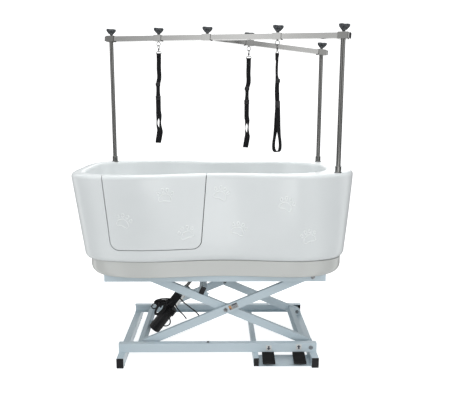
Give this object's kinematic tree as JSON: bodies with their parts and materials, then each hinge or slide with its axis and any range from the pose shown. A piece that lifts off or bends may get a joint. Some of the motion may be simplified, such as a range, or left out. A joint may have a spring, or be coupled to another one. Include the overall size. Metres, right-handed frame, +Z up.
{
  "type": "pet bathtub",
  "caption": "Pet grooming bathtub on an electric scissor lift, with a lift-out door and an overhead bar frame carrying clamped nooses.",
  "frame": {"origin": "on the floor under the middle of the tub, within 5 mm of the middle of the bounding box", "axes": "+X to the right along the tub, -Y to the front with the door, +Z up; drawn part-way up its lift"},
  "size_m": [1.382, 0.7587, 1.6763],
  "materials": {
    "powder_coat": "semi-gloss powder coat",
    "white_gelcoat": "gloss moulded plastic",
    "plinth_grey": "satin moulded plastic",
    "black_rubber": "matt",
    "black_plastic": "satin",
    "stainless_steel": "polished",
    "zinc_steel": "zinc plate",
    "black_webbing": "woven"
  },
  "bodies": {
    "base": {"base_frame": "powder_coat", "skid_plug_front_left": "black_plastic", "skid_plug_front_right": "black_plastic", "skid_plug_rear_left": "black_plastic", "skid_plug_rear_right": "black_plastic", "pedal_tube_plug": "black_plastic", "foot_front_left": "black_rubber", "foot_front_right": "black_rubber", "foot_rear_left": "black_rubber", "foot_rear_right": "black_rubber", "pedal_tray": "powder_coat", "base_pivot_bolt_front": "zinc_steel", "base_pivot_bolt_rear": "zinc_steel"},
    "pedal_down": {"pedal_down": "black_rubber"},
    "pedal_up": {"pedal_up": "black_rubber"},
    "inner_frame": {"inner_scissor_frame": "powder_coat", "actuator_head_pin": "zinc_steel"},
    "outer_frame": {"outer_scissor_frame": "powder_coat", "crossing_bolt_front": "zinc_steel", "crossing_bolt_rear": "zinc_steel", "actuator_foot_pin": "zinc_steel"},
    "lower_roller_front": {"lower_roller_front": "black_plastic"},
    "lower_roller_rear": {"lower_roller_rear": "black_plastic"},
    "upper_roller_front": {"upper_roller_front": "black_plastic"},
    "upper_roller_rear": {"upper_roller_rear": "black_plastic"},
    "actuator_body": {"actuator_body": "stainless_steel", "actuator_motor": "black_plastic"},
    "actuator_rod": {"actuator_rod": "stainless_steel"},
    "tub": {"tub_frame": "powder_coat", "tub_pivot_bolt_front": "zinc_steel", "tub_pivot_bolt_rear": "zinc_steel", "plinth": "plinth_grey", "tub_shell": "white_gelcoat", "door_seal": "black_rubber", "drain": "stainless_steel", "post_socket_left": "stainless_steel", "post_socket_front": "stainless_steel", "post_socket_rear": "stainless_steel", "post_left": "stainless_steel", "post_front": "stainless_steel", "post_rear": "stainless_steel", "main_bar": "stainless_steel", "branch_bar": "stainless_steel", "main_bar_plug_left": "black_plastic", "main_bar_plug_right": "black_plastic", "branch_bar_plug": "black_plastic"},
    "door": {"door": "white_gelcoat"},
    "slider_1": {"slider_1": "stainless_steel"},
    "noose_1": {"noose_1": "black_webbing"},
    "knob_slider_1": {"knob_slider_1": "black_plastic"},
    "slider_2": {"slider_2": "stainless_steel"},
    "noose_2": {"noose_2": "black_webbing"},
    "knob_slider_2": {"knob_slider_2": "black_plastic"},
    "slider_3": {"slider_3": "stainless_steel"},
    "noose_3": {"noose_3": "black_webbing"},
    "knob_slider_3": {"knob_slider_3": "black_plastic"},
    "knob_post_left": {"knob_post_left": "black_plastic"},
    "knob_post_front": {"knob_post_front": "black_plastic"},
    "knob_post_rear": {"knob_post_rear": "black_plastic"},
    "knob_junction": {"knob_junction": "black_plastic"}
  },
  "joints": [
    {"name": "lift", "type": "hinge", "parent": "base", "child": "inner_frame", "pos_m": [0.48, 0, 0.082], "axis": [0, 1, 0], "range_deg": [-13.9, 12.1]},
    {"name": "scissor_cross", "type": "hinge", "parent": "inner_frame", "child": "outer_frame", "pos_m": [0.057, 0, 0.26475], "axis": [0, 1, 0], "range_deg": [-24.2, 27.8]},
    {"name": "tub_level", "type": "hinge", "parent": "outer_frame", "child": "tub", "pos_m": [0.48, 0, 0.4475], "axis": [0, 1, 0], "range_deg": [-13.9, 12.1]},
    {"name": "actuator_body_pivot", "type": "hinge", "parent": "outer_frame", "child": "actuator_body", "pos_m": [-0.312, 0.02, 0.08], "axis": [0, 1, 0], "range_deg": [-1.39, 1.21]},
    {"name": "actuator_rod_pivot", "type": "hinge", "parent": "inner_frame", "child": "actuator_rod", "pos_m": [-0.0755, 0.02, 0.4], "axis": [0, 1, 0], "range_deg": [-22.99, 26.41]},
    {"name": "door_lift", "type": "slide", "parent": "tub", "child": "door", "axis": [0, 0, 1], "range_m": [0, 0.36]},
    {"name": "pedal_down_press", "type": "hinge", "parent": "base", "child": "pedal_down", "pos_m": [0.2664, -0.2815, 0.0432], "axis": [1, 0, 0], "range_deg": [0, 8], "stiffness_Nm_per_rad": 8},
    {"name": "pedal_up_press", "type": "hinge", "parent": "base", "child": "pedal_up", "pos_m": [0.4174, -0.2815, 0.0432], "axis": [1, 0, 0], "range_deg": [0, 8], "stiffness_Nm_per_rad": 8},
    {"name": "lower_roller_front_spin", "type": "hinge", "parent": "outer_frame", "child": "lower_roller_front", "pos_m": [-0.366, -0.2615, 0.082], "axis": [0, 1, 0], "continuous": true},
    {"name": "lower_roller_rear_spin", "type": "hinge", "parent": "outer_frame", "child": "lower_roller_rear", "pos_m": [-0.366, 0.2615, 0.082], "axis": [0, 1, 0], "continuous": true},
    {"name": "upper_roller_front_spin", "type": "hinge", "parent": "inner_frame", "child": "upper_roller_front", "pos_m": [-0.366, -0.2615, 0.4475], "axis": [0, 1, 0], "continuous": true},
    {"name": "upper_roller_rear_spin", "type": "hinge", "parent": "inner_frame", "child": "upper_roller_rear", "pos_m": [-0.366, 0.2615, 0.4475], "axis": [0, 1, 0], "continuous": true},
    {"name": "slider_1_slide", "type": "slide", "parent": "tub", "child": "slider_1", "axis": [0.9082, -0.4171, -0.0354], "range_m": [-0.235, 0.22]},
    {"name": "noose_1_swing", "type": "hinge", "parent": "slider_1", "child": "noose_1", "pos_m": [-0.294, 0.15108, 1.57489], "axis": [0.9087, -0.4174, 0], "range_deg": [-25, 25]},
    {"name": "knob_slider_1_turn", "type": "hinge", "parent": "slider_1", "child": "knob_slider_1", "pos_m": [-0.294, 0.15108, 1.61439], "axis": [0.0589, 0.0436, 0.9973], "continuous": true},
    {"name": "slider_2_slide", "type": "slide", "parent": "tub", "child": "slider_2", "axis": [0.9314, 0.357, -0.0706], "range_m": [-0.11, 0.37]},
    {"name": "noose_2_swing", "type": "hinge", "parent": "slider_2", "child": "noose_2", "pos_m": [0.1795, 0.11544, 1.54848], "axis": [0.9338, 0.3579, 0], "range_deg": [-25, 25]},
    {"name": "knob_slider_2_turn", "type": "hinge", "parent": "slider_2", "child": "knob_slider_2", "pos_m": [0.1795, 0.11544, 1.58798], "axis": [0.0589, 0.0436, 0.9973], "continuous": true},
    {"name": "slider_3_slide", "type": "slide", "parent": "tub", "child": "slider_3", "axis": [0.9082, -0.4171, -0.0354], "range_m": [-0.24, 0.25]},
    {"name": "noose_3_swing", "type": "hinge", "parent": "slider_3", "child": "noose_3", "pos_m": [0.303, -0.12311, 1.55161], "axis": [0.9087, -0.4174, 0], "range_deg": [-25, 25]},
    {"name": "knob_slider_3_turn", "type": "hinge", "parent": "slider_3", "child": "knob_slider_3", "pos_m": [0.303, -0.12311, 1.59111], "axis": [0.0589, 0.0436, 0.9973], "continuous": true},
    {"name": "knob_post_left_turn", "type": "hinge", "parent": "tub", "child": "knob_post_left", "pos_m": [-0.566, 0.276, 1.625], "axis": [0.0589, 0.0436, 0.9973], "continuous": true},
    {"name": "knob_post_front_turn", "type": "hinge", "parent": "tub", "child": "knob_post_front", "pos_m": [0.588, -0.254, 1.58], "axis": [0.0589, 0.0436, 0.9973], "continuous": true},
    {"name": "knob_post_rear_turn", "type": "hinge", "parent": "tub", "child": "knob_post_rear", "pos_m": [0.588, 0.272, 1.557], "axis": [0.0589, 0.0436, 0.9973], "continuous": true},
    {"name": "knob_junction_turn", "type": "hinge", "parent": "tub", "child": "knob_junction", "pos_m": [-0.03631, 0.03273, 1.60434], "axis": [0.0589, 0.0436, 0.9973], "continuous": true}
  ],
  "couplings": [
    {"joint": "scissor_cross", "follows": "lift", "ratio": -2},
    {"joint": "tub_level", "follows": "lift", "ratio": 1},
    {"joint": "actuator_body_pivot", "follows": "lift", "ratio": 0.1},
    {"joint": "actuator_rod_pivot", "follows": "lift", "ratio": -1.9}
  ]
}
